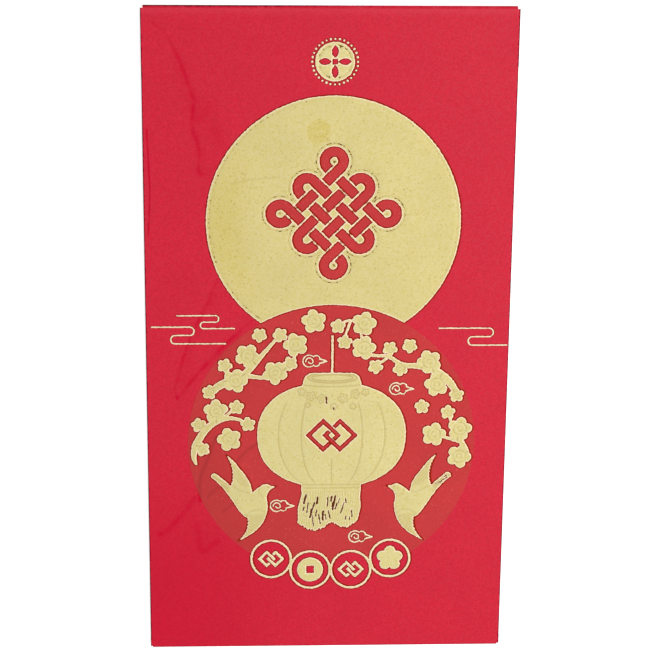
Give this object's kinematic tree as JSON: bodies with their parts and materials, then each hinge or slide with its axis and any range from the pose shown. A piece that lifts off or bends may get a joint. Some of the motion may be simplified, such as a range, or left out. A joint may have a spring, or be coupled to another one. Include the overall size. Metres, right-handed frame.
{
  "type": "red envelope",
  "caption": "Flat red paper gift envelope for money, with a gold-stamped moon, lantern and plum blossom front and a back flap that folds open on its top crease",
  "frame": {"origin": "middle of the envelope on the surface that it lies on, under the closed flap", "axes": "+Z out of the printed front, +Y to the folded top edge, +X to the right seen from the front"},
  "size_m": [0.09, 0.165, 0.0015],
  "materials": {
    "red_card": "satin",
    "tint_ink": "matte",
    "gold_foil": "satin",
    "glue": "matte"
  },
  "bodies": {
    "envelope": {"back_panel": "red_card", "bottom_crease": "red_card", "cloud_scroll_foils": "gold_foil", "front_panel": "red_card", "lantern_foil": "gold_foil", "lantern_tassel_foil": "gold_foil", "left_bird_foil": "gold_foil", "left_cloud_line_foils": "gold_foil", "left_crease": "red_card", "left_glue_strip": "glue", "left_glue_tab": "red_card", "left_lower_branch_foil": "gold_foil", "left_upper_branch_foil": "gold_foil", "loose_blossom_foils": "gold_foil", "moon_foil": "gold_foil", "moon_tint": "tint_ink", "right_bird_foil": "gold_foil", "right_cloud_line_foil": "gold_foil", "right_crease": "red_card", "right_glue_strip": "glue", "right_glue_tab": "red_card", "right_lower_branch_foil": "gold_foil", "right_upper_branch_foil": "gold_foil", "ring_chain_foil": "gold_foil", "ring_emblem_foils": "gold_foil", "scene_tint": "tint_ink", "seal_bead_foils": "gold_foil", "seal_foil": "gold_foil", "top_crease": "red_card"},
    "flap": {"top_flap": "red_card"}
  },
  "joints": [
    {"name": "flap_hinge", "type": "hinge", "parent": "envelope", "child": "flap", "pos_m": [0, 0.08185, 0.00065], "axis": [1, 0, 0], "range_deg": [0, 180], "deforming": ["top_crease"]}
  ]
}
